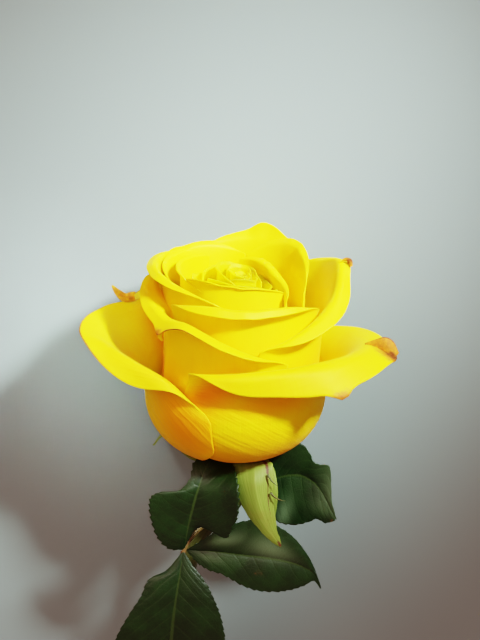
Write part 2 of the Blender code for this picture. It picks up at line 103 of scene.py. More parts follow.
OUTER_PETALS = [
    Petal("guard_petal_under", azimuth=92, spread=60, cup=25, crest=(34, 33, 32, 32, 34),
        flare=(4, 15.2, 10.6, 17, 8), lean=(30, 50, 60, 50, 35), lip=(2, 3, 3, 3, 2), curl=(10, 20, 30, 20, 10),
        corners=(0.42, 0.42), ripple=(0.5, 5, 0.3), dried=((0.7, 1, 0.2, 0.05, 0.6),)),
    Petal("guard_petal_left", azimuth=188, spread=67, cup=24, crest=(35, 33.4, 32.8, 32.4, 29.2, 25.3, 20.5),
        flare=(4, 6, 9, 11.6, 6, 1.4, 1.1), lean=(30, 40, 50, 60, 70, 70, 55), lip=(3, 4.5, 5.2, 5.2, 7, 7, 3),
        curl=(10, 10, 10, 12, 36, 75, 60), corners=(0.4, 0.45), ripple=(0.25, 4, 0.8), narrow=(0, 0.33),
        peaks=((-0.6, 0.12, 0, -1.2),), dried=((-0.6, 1, 0.07, 0.06, 0.5), (0, 1, 0.45, 0.02, 0.8)),
        warm=((-0.74, 0.6, 0.2, 0.3, 1), (0.72, 0.42, 0.45, 0.32, 0.9))),
    Petal("guard_petal_right", azimuth=312, spread=80, cup=23.1,
        crest=(27.8, 28.85, 29.7, 30.7, 31.2, 30, 28.6), flare=(0.3, 0.85, 2, 5.5, 10.1, 7.6, 3.4),
        lean=(50, 75, 75, 75, 80, 62, 45), lip=(2.5, 6.35, 7.5, 9.8, 8.1, 5.5, 2.5),
        curl=(60, 95, 87, 61, 32, 20, 20), corners=(0.26, 0.3), ripple=(0.2, 4, 0.2), narrow=(0.17, 0),
        peaks=((0.01, 0.05, 1.6, -1.8), (0.425, 0.085, 1.6, -1.8)),
        dried=((0.41, 1, 0.075, 0.2, 1), (0.01, 1, 0.05, 0.05, 0.8)),
        warm=((-0.3, 0.48, 0.5, 0.07, 0.6), (-0.8, 0.56, 0.35, 0.14, 1))),
    Petal("outer_petal_left", azimuth=240, spread=65, cup=22, crest=(47, 43.7, 40.5, 39.8, 36.4, 32.6, 29.2),
        flare=(0.5, 0.2, 0, 0.3, 0.9, 0.9, 0.1), lean=(50, 60, 65, 60, 65, 60, 30),
        lip=(3.6, 4.4, 3.9, 3, 3.4, 3, 1), curl=(60, 70, 85, 50, 45, 40, 30), corners=(0.3, 0.3),
        ripple=(0.15, 4, 0.5), peaks=((-0.31, 0.06, 1, -1.6),),
        dried=((-0.31, 1, 0.05, 0.08, 0.7), (-0.1, 1, 0.22, 0.015, 0.8)),
        dents=((-1.2, -0.5, 0.25, 0.62, -2.6),), warm=((-0.8, 0.4, 0.28, 0.35, 1),)),
    Petal("outer_petal_right", azimuth=348, spread=63, cup=21, crest=(33.3, 36, 39.5, 44, 49.2, 47.4, 45),
        flare=(0.3, 1.2, 2.6, 4.4, 5.4, 4.6, 3.2), lean=(40, 55, 60, 55, 45, 30, 20),
        lip=(1.5, 3.7, 4.9, 4.4, 2.5, 1.5, 1), curl=(60, 70, 60, 80, 80, 40, 20), corners=(0.3, 0.3),
        ripple=(0.15, 4, 0.1), peaks=((0.3, 0.08, 0.8, 1.2),), dried=((0.3, 1, 0.06, 0.08, 0.6),)),
    Petal("outer_petal_back", azimuth=141, spread=47, cup=20.4, crest=(50, 49.5, 48.7, 47.5, 44),
        flare=(0.8, 1.2, 1.2, 0.6, -0.3), lean=(15, 25, 30, 20, 10), lip=(1.5, 1.8, 2, 1.8, 1.2),
        curl=(30, 30, 40, 40, 30), corners=(0.32, 0.32), ripple=(0.3, 4, 0.6),
        dents=((0.15, 1.2, 0.25, 0.62, -2.4),)),
    Petal("middle_petal_front", azimuth=277, spread=62, cup=19.9, crest=(42.6, 44.6, 43.9, 43.5, 40.4),
        flare=(0, 0.5, 0.6, 0.5, 2.2), lean=(30, 65, 65, 65, 30), lip=(1.5, 2.8, 2.8, 2.4, 1.2),
        curl=(40, 75, 75, 75, 40), corners=(0.28, 0.28), ripple=(0.2, 5, 0.4)),
    Petal("middle_petal_left", azimuth=200, spread=62, cup=19.1, crest=(49.5, 50.5, 49.8, 46.8, 43),
        flare=(0.6, 1.2, 1.3, -0.5, -1.8), lean=(20, 45, 50, 35, 20), lip=(2, 2.6, 2.6, 1.8, 0.6),
        curl=(40, 60, 80, 70, 30), corners=(0.3, 0.28), ripple=(0.2, 4, 0.9)),
    Petal("middle_petal_back", azimuth=72, spread=52, cup=18.4, crest=(49, 51, 51.6, 51, 49),
        flare=(0.3, 0.7, 1, 0.8, 0.4), lean=(10, 15, 20, 15, 10), lip=(1.5, 2, 2.5, 2, 1.5),
        curl=(20, 30, 30, 30, 20), corners=(0.34, 0.34), ripple=(0.25, 4, 0.2), peaks=((-0.08, 0.26, 0, 2.8),)),
    Petal("middle_petal_right", azimuth=32, spread=50, cup=17.5, crest=(43.5, 48.4, 51.8, 51, 48),
        flare=(0, 0.4, 0.5, 0.3, 0.1), lean=(10, 15, 20, 15, 10), lip=(1, 2, 2, 2, 1),
        curl=(20, 30, 30, 30, 20), corners=(0.32, 0.32), ripple=(0.2, 4, 0.7), narrow=(0.25, 0)),
    Petal("inner_petal_back", azimuth=145, spread=63, cup=16.5, crest=(48.4, 50.6, 50.3, 48.9, 46.6),
        flare=(-0.4, 0.4, 1, 1.6, 1.2), lean=(5, 15, 20, 20, 15), lip=(1, 1.5, 1.5, 1.5, 1),
        curl=(20, 30, 30, 30, 20), corners=(0.28, 0.28), ripple=(0.2, 4, 0.1)),
    Petal("inner_petal_right", azimuth=20, spread=66, cup=16.3, crest=(44.4, 47.4, 48.8, 49.4, 49.2),
        flare=(0.6, -6.9, -9, -9.2, -8.6), lean=(20, 0, -10, -10, -10), lip=(1.4, 2, 1.9, 1.1, 0.7),
        curl=(60, 95, 85, 50, 30), corners=(0.28, 0.22), ripple=(0.15, 5, 0.5), narrow=(0.1, 0)),
    Petal("inner_petal_front", azimuth=266, spread=72, cup=15.4, crest=(46.9, 48.6, 47.9, 46.4, 43.4),
        flare=(-1, -0.9, -1, -1, -2), lean=(0, 5, 10, 5, 0), lip=(0.8, 1, 1, 1, 0.8), curl=(40, 60, 60, 60, 40),
        corners=(0.22, 0.26), ripple=(0.2, 4, 0.3)),
    Petal("inner_petal_left", azimuth=190, spread=70, cup=15, crest=(48.8, 49.2, 48.6, 46.4, 43),
        flare=(-0.4, -0.6, -0.4, -0.8, -1.6), lean=(0, 5, 10, 10, 0), lip=(0.8, 1.2, 1.4, 1, 0.8),
        curl=(20, 30, 40, 40, 30), corners=(0.26, 0.26), ripple=(0.15, 4, 0.6)),
]

# The furled heart: ever tighter petals, a golden angle apart, that fill the room that the inner petals leave,
# which is given at evenly spaced angles. Each petal is (cup, share of that room, height of its rim, how much
# higher the rim is at HEART_TILT_TO).
GOLDEN_ANGLE = 137.5
HEART_AZIMUTH = 289.5
HEART_TILT_TO = 150
HEART_AT = (1.8, 0.5)
HEART_ROOM = (15.6, 15.4, 14.9, 14.2, 13.3, 12.9, 12.0, 8.6, 6.5, 6.3, 6.8, 9.8, 13.4, 14.4, 15.0, 15.5)
HEART = [
    (14.6, 0.94, 45, 0.6), (13.45, 0.88, 45.1, 0.7), (12.3, 0.82, 45.2, 0.8), (11.15, 0.75, 45.3, 0.9),
    (10, 0.67, 45.5, 1.1), (8.85, 0.59, 46, 1.3), (7.7, 0.51, 46.5, 1.5), (6.55, 0.43, 46.9, 1.6),
    (5.4, 0.35, 47, 1.4), (4.6, 0.28, 46.9, 1.1), (3.9, 0.22, 46.7, 0.8), (3.2, 0.16, 46.5, 0.6),
    (2.5, 0.11, 46.2, 0.3), (1.8, 0.06, 46, 0),
]


def heart_petals():
    """The petals of the heart, from the outermost inwards."""
    petals = []
    for i, (cup, share, top, tilt) in enumerate(HEART):
        azimuth = (HEART_AZIMUTH + GOLDEN_ANGLE * i) % 360
        spread = 64 + 5 * i
        ways = azimuth + spread * np.linspace(-1, 1, 7)
        room = share * np.interp(ways, np.linspace(-180, 157.5, len(HEART_ROOM)), HEART_ROOM, period=360)
        tilted = top + tilt * np.cos(np.radians(ways - HEART_TILT_TO))
        petals.append(Petal(
            f"heart_petal_{i + 1:02d}", azimuth, spread, cup,
            crest=tuple(tilted - np.array([2.4, 0.8, 0, 0, 0, 0.8, 2.4])), flare=tuple(room - cup),
            lean=(-4, 0, 4, 4, 4, 0, -4), lip=(0.8, 1.1, 1.2, 1.2, 1.2, 1.1, 0.8),
            curl=(15, 25, 30, 30, 30, 25, 15), corners=(0.22, 0.26), ripple=(0.12, 3, 0.37 * i % 1),
            shift=HEART_AT,
        ))
    return petals


def across(values, s):
    """The smooth curve through evenly spaced values, read at s from -1 to 1."""
    values = np.asarray(values, float)
    last = len(values) - 1
    place = (np.clip(s, -1, 1) + 1) / 2 * last
    i = np.minimum(place.astype(int), last - 1)
    u, has_before, has_after = place - i, i > 0, i + 2 <= last
    if values.ndim == 2:
        u, has_before, has_after = u[:, None], has_before[:, None], has_after[:, None]
    before = np.where(has_before, values[np.maximum(i - 1, 0)], 2 * values[i] - values[i + 1])
    after = np.where(has_after, values[np.minimum(i + 2, last)], 2 * values[i + 1] - values[i])
    here, there = values[i], values[i + 1]
    return 0.5 * (2 * here + (there - before) * u + (2 * before - 5 * here + 4 * there - after) * u**2
                  + (3 * here - before - 3 * there + after) * u**3)


def between(values, t):
    """Evenly spaced values joined by straight lines, read at t from 0 to 1."""
    return np.interp(t, np.linspace(0, 1, len(values)), values)


def smooth(x):
    """A soft step from 0 at 0 to 1 at 1."""
    x = np.clip(x, 0, 1)
    return x * x * (3 - 2 * x)


def band(x, low, high, soft):
    """1 between low and high, easing to 0 over soft outside them."""
    return smooth((x - low) / soft + 1) * smooth((high - x) / soft + 1)


def lowest(z):
    """How far back a point at height z can be before it's in the surface that the rose lies on."""
    slope = math.radians(AXIS_SLOPE)
    return (FLOWER_AT[2] + z * math.sin(slope)) / math.cos(slope)


LYING = Matrix.Translation(Vector(FLOWER_AT)) @ Matrix.Rotation(math.radians(AXIS_SLOPE - 90), 4, "X")
TURNED, MOVED = np.array(LYING)[:3, :3], np.array(LYING)[:3, 3]


def laid(points):
    """Points of the rose's own frame, in millimetres, put in the row frame, in metres."""
    return (np.asarray(points, float) @ TURNED.T + MOVED) * MM


def petal_points(petal, order, s, t):
    """Points of a petal's middle surface at s across and t up, in millimetres. order counts petals inwards."""
    left = s < 0
    t = t - np.where(left, *petal.corners) * s**4 * t**2
    foot_r = JOIN_RADIUS - JOIN_STEP_IN * order
    foot_z = JOIN_HEIGHT + JOIN_STEP_UP * order
    waist_z = CUP_HEIGHT + CUP_RISE_INWARD * (WIDEST_CUP - petal.cup)
    crest_r = petal.cup + across(petal.flare, s)
    crest_z = across(petal.crest, s)
    lean = np.radians(across(petal.lean, s))
    lip = across(petal.lip, s)
    curl = np.radians(across(petal.curl, s))

    swing = np.clip(t / CUP_SHARE, 0, 1) * math.pi / 2
    r = foot_r + (petal.cup - foot_r) * np.sin(swing)
    z = foot_z + (waist_z - foot_z) * (1 - np.cos(swing))

    on_wall = t > CUP_SHARE
    u = np.clip((t - CUP_SHARE) / (WALL_SHARE - CUP_SHARE), 0, 1)
    a, b, c, d = (1 - u) ** 3, 3 * u * (1 - u) ** 2, 3 * u**2 * (1 - u), u**3
    low_z = waist_z + WALL_HANDLE * (crest_z - waist_z)
    high_r = crest_r - CREST_BEND * np.sin(lean)
    high_z = crest_z - CREST_BEND * np.cos(lean)
    r = np.where(on_wall, (a + b) * petal.cup + c * high_r + d * crest_r, r)
    z = np.where(on_wall, a * waist_z + b * low_z + c * high_z + d * crest_z, z)

    w = np.clip((t - WALL_SHARE) / (1 - WALL_SHARE), 0, 1)
    folded, straight = np.minimum(w, FOLD_SHARE) * lip, np.maximum(w - FOLD_SHARE, 0) * lip
    bend = curl / (FOLD_SHARE * lip)
    turned = lean + bend * folded
    r = r + (np.cos(lean) - np.cos(turned)) / bend + straight * np.sin(turned)
    z = z + (np.sin(turned) - np.sin(lean)) / bend + straight * np.cos(turned)
    for place, breadth, out, up in petal.peaks:
        rise = w**2 * np.exp(-(((s - place) / breadth) ** 2))
        r = r + out * rise
        z = z + up * rise

    for first, last, low, high, out in petal.dents:
        r = r + out * band(s, first, last, DENT_SOFT_ACROSS) * band(t, low, high, DENT_SOFT_UP)

    size, waves, start = petal.ripple
    uneven = s + 0.15 * np.sin(5 * s)
    wave = size * np.sin(math.tau * (waves * uneven / 2 + start))
    wave = wave * smooth((t - RIPPLE_FROM) / (1 - RIPPLE_FROM))
    r = r - RIPPLE_OUT * wave * np.cos(turned)
    z = z + RIPPLE_UP * wave * np.sin(turned)

    width = CLAW_WIDTH + (1 - CLAW_WIDTH) * smooth(t / (CUP_SHARE * CLAW_SHARE))
    width = width * (1 - np.where(left, *petal.narrow) * smooth((t - NARROW_FROM) / (1 - NARROW_FROM)))
    azimuth = np.radians(petal.azimuth + s * petal.spread * width)
    shifted = smooth(u)
    x = r * np.cos(azimuth) + petal.shift[0] * shifted
    y = r * np.sin(azimuth) + petal.shift[1] * shifted
    return np.stack([x, np.minimum(y, lowest(z) - PETAL_THICK / 2), z], axis=-1)


def spots(places, s, t):
    """How strong the strongest of the spots is at s across and t up, from 0 to 1."""
    strongest = np.zeros_like(s)
    for place, up, breadth, height, strength in places:
        here = strength * np.exp(-(((s - place) / breadth) ** 2 + ((t - up) / height) ** 2))
        strongest = np.maximum(strongest, here)
    return strongest


def placed(name, data):
    """A new object of the scene that shows data."""
    made = bpy.data.objects.new(name, data)
    SCENE.collection.objects.link(made)
    return made


def placed_mesh(name, bm, finish):
    """A new object of the scene made of a bmesh, which is used up."""
    mesh = bpy.data.meshes.new(name)
    bm.to_mesh(mesh)
    bm.free()
    mesh.materials.append(finish)
    return placed(name, mesh)


def finished(name, bm, finish, node, thick=None):
    """Turns a bmesh into a piece that rides on the rose and, where one is named, stands for a CAD node."""
    piece = placed_mesh(name, bm, finish)
    piece.data.shade_smooth()
    if thick:
        solid = piece.modifiers.new("thickness", "SOLIDIFY")
        solid.thickness = thick * MM
        solid.offset = 0
    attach(piece, "root")
    if node:
        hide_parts(node)


def grid_sheet(columns, rows, surface, marks):
    """A sheet with its points at surface(s, t), a UV map, and the masks that marks(s, t) names.

    Its columns stand a little closer together towards its sides.
    """
    bm = bmesh.new()
    uv = bm.loops.layers.uv.new("UVMap")
    bmesh.ops.create_grid(bm, x_segments=columns, y_segments=rows, size=1)
    grid = np.array([v.co for v in bm.verts])
    s = grid[:, 0] * (1.25 - 0.25 * grid[:, 0] ** 2)
    t = (grid[:, 1] + 1) / 2
    for face in bm.faces:
        for loop in face.loops:
            i = loop.vert.index
            loop[uv].uv = ((s[i] + 1) / 2, t[i])
    for vertex, point in zip(bm.verts, laid(surface(s, t))):
        vertex.co = point
    for mark, values in marks(s, t).items():
        layer = bm.verts.layers.float.new(mark)
        for vertex, value in zip(bm.verts, values):
            vertex[layer] = float(value)
    return bm


def grid_tube(sides, rings, place):
    """A round tube, place(angle, t) giving its points, with poles where its ends close."""
    bm = bmesh.new()
    uv = bm.loops.layers.uv.new("UVMap")
    bmesh.ops.create_grid(bm, x_segments=sides, y_segments=rings, size=1)
    grid = (np.array([v.co for v in bm.verts]) + 1) / 2
    for face in bm.faces:
        for loop in face.loops:
            loop[uv].uv = grid[loop.vert.index, :2]
    for vertex, point in zip(bm.verts, laid(place(grid[:, 0] * math.tau, grid[:, 1]))):
        vertex.co = point
    bmesh.ops.remove_doubles(bm, verts=bm.verts, dist=1e-6)
    bmesh.ops.recalc_face_normals(bm, faces=bm.faces)
    return bm


def bezier(points, t):
    """Points and directions along a cubic curve with four control points."""
    a, b, c, d = (np.asarray(p, float) for p in points)
    t = t[:, None]
    place = (1 - t) ** 3 * a + 3 * t * (1 - t) ** 2 * b + 3 * t**2 * (1 - t) * c + t**3 * d
    way = 3 * (1 - t) ** 2 * (b - a) + 6 * t * (1 - t) * (c - b) + 3 * t**2 * (d - c)
    return place, way / np.linalg.norm(way, axis=1, keepdims=True)


def along(points, t):
    """Points and directions along the smooth curve through evenly spaced points, read at t from 0 to 1."""
    step = 0.004
    way = across(points, 2 * np.minimum(t + step, 1) - 1) - across(points, 2 * np.maximum(t - step, 0) - 1)
    return across(points, 2 * t - 1), way / np.linalg.norm(way, axis=1, keepdims=True)


def crosswise(way):
    """Two directions square to way and to each other, that turn little along a curve."""
    first = np.cross(way, np.array([0.2, -1, 0.1]))
    first /= np.linalg.norm(first, axis=1, keepdims=True)
    return first, np.cross(way, first)


def domed(t):
    """Where t is on the middle line of a tube with a short dome at each end, and how open its skin is there."""
    dome = 0.04
    end = np.clip(np.minimum(t, 1 - t) / dome, 0, 1)
    return np.clip((t - dome) / (1 - 2 * dome), 0, 1), np.sqrt(1 - (1 - end) ** 2)


def round_tube(curve, radius, sides, rings, slant=0):
    """A closed tube round curve(t). radius(t, angle) gives its skin, and slant shears its far end."""
    def place(angle, t):
        share, opened = domed(t)
        centre, way = curve(share)
        first, second = crosswise(way)
        skin = radius(share, angle) * opened
        out = np.cos(angle)[:, None] * first + np.sin(angle)[:, None] * second
        sheared = slant * smooth((t - 0.8) / 0.16) * np.cos(angle) * skin
        return centre + out * skin[:, None] + way * sheared[:, None]
    return grid_tube(sides, rings, place)


# ---- finishes


def feed(tree, socket, value):
    """Gives a socket its value: another node's output, a number, or a colour."""
    if isinstance(value, bpy.types.NodeSocket):
        tree.links.new(value, socket)
    else:
        socket.default_value = (*value, 1) if isinstance(value, tuple) else value


def node(tree, kind, **values):
    """A shader node. Values name its settings, or its input sockets with _ for each space."""
    made = tree.nodes.new(kind)
    for key, value in values.items():
        if hasattr(made, key):
            setattr(made, key, value)
        else:
            feed(tree, made.inputs[key.replace("_", " ")], value)
    return made


def fed(tree, made, *values):
    """The first output of a node whose first inputs are these values."""
    for socket, value in zip(made.inputs, values):
        feed(tree, socket, value)
    return made.outputs[0]


def maths(tree, operation, *values):
    """The result of a maths operation on one to three values."""
    return fed(tree, node(tree, "ShaderNodeMath", operation=operation), *values)


def times(tree, one, other):
    """One value times another."""
    return maths(tree, "MULTIPLY", one, other)


def step_between(tree, value, low, high):
    """A soft step of value, 0 at low and 1 at high."""
    return fed(tree, node(tree, "ShaderNodeMapRange", interpolation_type="SMOOTHSTEP"), value, low, high)


def blend(tree, share, under, over):
    """The colour under with this share of the colour over laid on it."""
    made = node(tree, "ShaderNodeMix", data_type="RGBA")
    for i, value in ((0, share), (6, under), (7, over)):
        feed(tree, made.inputs[i], value)
    return made.outputs[2]


def mask(tree, name):
    """One of the masks that a piece's own points carry."""
    return node(tree, "ShaderNodeAttribute", attribute_name=name).outputs["Fac"]


def new_group(name, inputs, outputs):
    """A node group that takes numbers and gives numbers, with its input and output sockets."""
    group = bpy.data.node_groups.new(name, "ShaderNodeTree")
    for titles, way in ((inputs, "INPUT"), (outputs, "OUTPUT")):
        for title in titles:
            group.interface.new_socket(title, in_out=way, socket_type="NodeSocketFloat")
    return group, group.nodes.new("NodeGroupInput").outputs, group.nodes.new("NodeGroupOutput").inputs


def mottle_group():
    """Soft blotches over the surface and a fine grain, both from Object coordinates."""
    tree, given, put = new_group("mottle", ("Blotch Size", "Grain Size"), ("Blotch", "Grain"))
    coords = node(tree, "ShaderNodeTexCoord").outputs["Object"]
    for title, detail in (("Blotch", 3.0), ("Grain", 2.0)):
        scale = maths(tree, "DIVIDE", 1 / MM, given[f"{title} Size"])
        noise = node(tree, "ShaderNodeTexNoise", Vector=coords, Scale=scale, Detail=detail, Roughness=0.55)
        tree.links.new(noise.outputs["Fac"], put[title])
    return tree


def fibre_group():
    """Fine lines along a petal, sepal or stem that wander a little, and slanting wrinkles, from its UV map."""
    tree, given, put = new_group("fibres", ("Lines", "Stretch", "Wander"), ("Lines", "Wrinkles"))
    uv = node(tree, "ShaderNodeUVMap", uv_map="UVMap").outputs[0]
    parts = node(tree, "ShaderNodeSeparateXYZ", Vector=uv).outputs
    sway = node(tree, "ShaderNodeTexNoise", Vector=uv, Scale=4.0, Detail=2.0).outputs["Fac"]
    u = maths(tree, "MULTIPLY_ADD", maths(tree, "SUBTRACT", sway, 0.5), given["Wander"], parts[0])
    for title, spread in (("Lines", 1.0), ("Wrinkles", 0.32)):
        x = times(tree, u, times(tree, given["Lines"], spread))
        y = times(tree, parts[1], given["Stretch"])
        if title == "Wrinkles":
            y = maths(tree, "MULTIPLY_ADD", x, 0.5, times(tree, y, 9.0))
            x = times(tree, x, 0.12)
        at = node(tree, "ShaderNodeCombineXYZ", X=x, Y=y).outputs[0]
        noise = node(tree, "ShaderNodeTexNoise", Vector=at, Scale=1.0, Detail=3.0, Roughness=0.6)
        tree.links.new(noise.outputs["Fac"], put[title])
    return tree


def dried_group():
    """Where a rim has dried: the piece's own mask with a ragged edge, and the darker line along it."""
    tree, given, put = new_group("dried", ("Ragged",), ("Dried", "Crisp"))
    spot = mask(tree, "dried")
    coords = node(tree, "ShaderNodeTexCoord").outputs["Object"]
    noise = node(tree, "ShaderNodeTexNoise", Vector=coords, Scale=1300.0, Detail=3.0).outputs["Fac"]
    rough = times(tree, maths(tree, "SUBTRACT", noise, 0.5), given["Ragged"])
    here = maths(tree, "ADD", spot, times(tree, rough, step_between(tree, spot, 0.02, 0.3)))
    tree.links.new(step_between(tree, here, 0.12, 0.6), put["Dried"])
    tree.links.new(step_between(tree, here, 0.5, 0.95), put["Crisp"])
    return tree


# How far a leaf's side veins lean to the tip, how many there are a side, and how far the right ones are ahead.
VEIN_LEAN = 0.17
SIDE_VEINS = 9.0
VEIN_STAGGER = 0.45


def vein_group():
    """A leaf's veins from its UV map: the midrib, side veins that curve to the tip, and a fine net between."""
    tree, given, put = new_group("leaf_veins", ("Breadth",), ("Midrib", "Side", "Net"))
    uv = node(tree, "ShaderNodeUVMap", uv_map="UVMap").outputs[0]
    parts = node(tree, "ShaderNodeSeparateXYZ", Vector=uv).outputs
    signed = maths(tree, "MULTIPLY_ADD", parts[0], 2.0, -1.0)
    off = maths(tree, "ABSOLUTE", signed)
    curve = maths(tree, "MULTIPLY_ADD", times(tree, off, off), 0.6, off)
    behind = maths(tree, "SUBTRACT", parts[1], times(tree, VEIN_LEAN, curve))
    right = times(tree, maths(tree, "GREATER_THAN", signed, 0.0), VEIN_STAGGER)
    phase = maths(tree, "ADD", times(tree, behind, SIDE_VEINS), right)
    gap = maths(tree, "ABSOLUTE", maths(tree, "SUBTRACT", maths(tree, "FRACT", phase), 0.5))
    reach = maths(tree, "MULTIPLY_ADD", off, -0.6, 1.0)
    side = times(tree, step_between(tree, gap, 0.40, 0.5), reach)
    coords = node(tree, "ShaderNodeTexCoord").outputs["Object"]
    cells = node(tree, "ShaderNodeTexVoronoi", feature="DISTANCE_TO_EDGE", Vector=coords, Scale=900.0)
    rib = maths(tree, "DIVIDE", off, given["Breadth"])
    tree.links.new(step_between(tree, rib, 1.0, 0.35), put["Midrib"])
    tree.links.new(side, put["Side"])
    tree.links.new(step_between(tree, cells.outputs["Distance"], 0.12, 0.0), put["Net"])
    return tree


MOTTLE, FIBRES, DRIED, VEINS = mottle_group(), fibre_group(), dried_group(), vein_group()


def effect(tree, group, **values):
    """The outputs of a node group with these input values."""
    return node(tree, "ShaderNodeGroup", node_tree=group, **values).outputs


def new_finish(name):
    """A new material, its nodes, and its shader."""
    made = bpy.data.materials.new(name)
    made.use_nodes = True
    return made, made.node_tree, made.node_tree.nodes["Principled BSDF"]


def surfaced(tree, shader, colour, roughness, height, strength, distance):
    """Gives a shader its colour and roughness, and a relief of this height."""
    feed(tree, shader.inputs["Base Color"], colour)
    feed(tree, shader.inputs["Roughness"], roughness)
    bump = node(tree, "ShaderNodeBump", Height=height, Strength=strength, Distance=distance * MM)
    tree.links.new(bump.outputs[0], shader.inputs["Normal"])


# The petals' yellow, and the orange of their painted shade, which also tints their blotches and veins.
YELLOW = (0.97, 0.75, 0.003)
ORANGE = (0.95, 0.27, 0.002)


def petal_finish(name, deep, creases, glow=0.3):
    """Fresh petal skin: clear yellow, orange painted shade deep in the cup and in shaded spots, fine veins,
    browned dry rims.

    glow is how much of the light goes through the petal's flesh, and how far.
    """
    made, tree, shader = new_finish(name)
    mottle = effect(tree, MOTTLE, Blotch_Size=9.0, Grain_Size=0.35)
    lines = effect(tree, FIBRES, Lines=110.0, Stretch=3.0, Wander=0.03)
    dried = effect(tree, DRIED, Ragged=0.5)
    # The depth mask is painted shade: orange where the cup lies deep and where the bloom shades itself.
    depth = mask(tree, "depth")
    colour = blend(tree, depth, YELLOW, deep)
    blotch = step_between(tree, mottle["Blotch"], 0.42, 0.72)
    colour = blend(tree, times(tree, blotch, 0.15), colour, deep)
    veins = step_between(tree, lines["Lines"], 0.5, 0.75)
    colour = blend(tree, times(tree, veins, 0.1), colour, (deep[0], deep[1] * 0.8, deep[2]))
    colour = blend(tree, dried["Dried"], colour, (0.55, 0.20, 0.015))
    colour = blend(tree, dried["Crisp"], colour, (0.14, 0.035, 0.008))
    for title, value in (("Subsurface Weight", glow), ("Subsurface Radius", (1.0, 0.7, 0.05)),
                         ("Subsurface Scale", 0.005 * glow), ("Sheen Weight", 0.06), ("Sheen Roughness", 0.5),
                         ("Sheen Tint", (1.0, 0.9, 0.4, 1)), ("Specular IOR Level", 0.18)):
        shader.inputs[title].default_value = value
    creased = maths(tree, "MULTIPLY_ADD", step_between(tree, depth, 0.02, 0.2), 0.75 * creases, 0.25 * creases)
    height = maths(tree, "ADD", times(tree, lines["Lines"], 0.5),
                   times(tree, lines["Wrinkles"], creased))
    height = maths(tree, "ADD", height, times(tree, mottle["Grain"], 0.2))
    rough = maths(tree, "MULTIPLY_ADD", mottle["Grain"], 0.12, 0.5)
    surfaced(tree, shader, colour, rough, height, 0.35, 0.35)
    return made


def leaf_finish(name, dark, light, vein, pale):
    """Glossy leaf: deep green between paler veins, paler patches of painted sheen and lighter tone, and a dried
    line along the teeth.
    """
    made, tree, shader = new_finish(name)
    mottle = effect(tree, MOTTLE, Blotch_Size=7.0, Grain_Size=0.3)
    veins = effect(tree, VEINS, Breadth=0.045)
    dried = effect(tree, DRIED, Ragged=0.7)
    # The paler patches are painted sheen where the leaves seem glossy, and on the bract leaf partly its lighter
    # tone.
    patches = mask(tree, "pale")
    colour = blend(tree, step_between(tree, mottle["Blotch"], 0.35, 0.7), dark, light)
    for title, share in (("Net", 0.10), ("Side", 0.20), ("Midrib", 0.8)):
        colour = blend(tree, times(tree, veins[title], share), colour, vein)
    colour = blend(tree, patches, colour, pale)
    colour = blend(tree, dried["Dried"], colour, (0.16, 0.06, 0.02))
    shader.inputs["Specular IOR Level"].default_value = 0.5
    height = maths(tree, "SUBTRACT", times(tree, mottle["Grain"], 0.25),
                   times(tree, veins["Net"], 0.35))
    height = maths(tree, "SUBTRACT", height, times(tree, veins["Side"], 0.7))
    rough = maths(tree, "MULTIPLY_ADD", mottle["Blotch"], 0.25, 0.32)
    surfaced(tree, shader, colour, rough, height, 0.3, 0.2)
    return made


def green_finish(name, colour, streak, blush, roughness, lines):
    """Skin of the hip, sepals and stem: fine streaks along it, reddish blotches, and dried brown spots."""
    made, tree, shader = new_finish(name)
    mottle = effect(tree, MOTTLE, Blotch_Size=5.0, Grain_Size=0.3)
    fibres = effect(tree, FIBRES, Lines=lines, Stretch=2.0, Wander=0.02)
    dried = effect(tree, DRIED, Ragged=0.6)
    blotch = step_between(tree, mottle["Blotch"], 0.5, 0.75)
    mixed = blend(tree, step_between(tree, fibres["Lines"], 0.4, 0.65), colour, streak)
    mixed = blend(tree, times(tree, blotch, 0.5), mixed, blush)
    mixed = blend(tree, dried["Dried"], mixed, (0.10, 0.038, 0.014))
    height = maths(tree, "ADD", fibres["Lines"], times(tree, mottle["Grain"], 0.4))
    rough = maths(tree, "MULTIPLY_ADD", mottle["Grain"], 0.2, roughness)
    surfaced(tree, shader, mixed, rough, height, 0.4, 0.2)
    return made


# The second colour of each petal finish is the orange of its painted shade.
PETAL = petal_finish("petal_skin", ORANGE, creases=0.8)
HEART_PETAL = petal_finish("heart_petal_skin", (0.96, 0.52, 0.002), creases=0.5, glow=0.9)
GUARD = petal_finish("guard_petal_skin", ORANGE, creases=2.9)
LEAF = leaf_finish("leaf_upper_skin", dark=(0.0032, 0.0185, 0.0021), light=(0.0064, 0.0340, 0.0043),
                   vein=(0.030, 0.062, 0.013), pale=(0.100, 0.165, 0.085))
SEPAL = green_finish("sepal_skin", (0.152, 0.232, 0.028), (0.200, 0.280, 0.048), (0.20, 0.20, 0.035), 0.5, 24.0)
STEM = green_finish("stem_skin", (0.075, 0.095, 0.022), (0.11, 0.125, 0.035), (0.15, 0.075, 0.025), 0.42, 30.0)
STALK = green_finish("stalk_skin", (0.13, 0.080, 0.022), (0.17, 0.12, 0.035), (0.20, 0.060, 0.025), 0.45, 20.0)
PRICKLE = green_finish("prickle_skin", (0.35, 0.13, 0.06), (0.42, 0.20, 0.09), (0.28, 0.08, 0.04), 0.38, 12.0)


# ---- flower

# The finish of petals whose names start so, and the share of their height below which painted shade turns them
# orange.
OWN_FINISHES = {"guard": (GUARD, 0.5), "heart": (HEART_PETAL, 0.6)}
OTHERS_FINISH = (PETAL, 0.72)


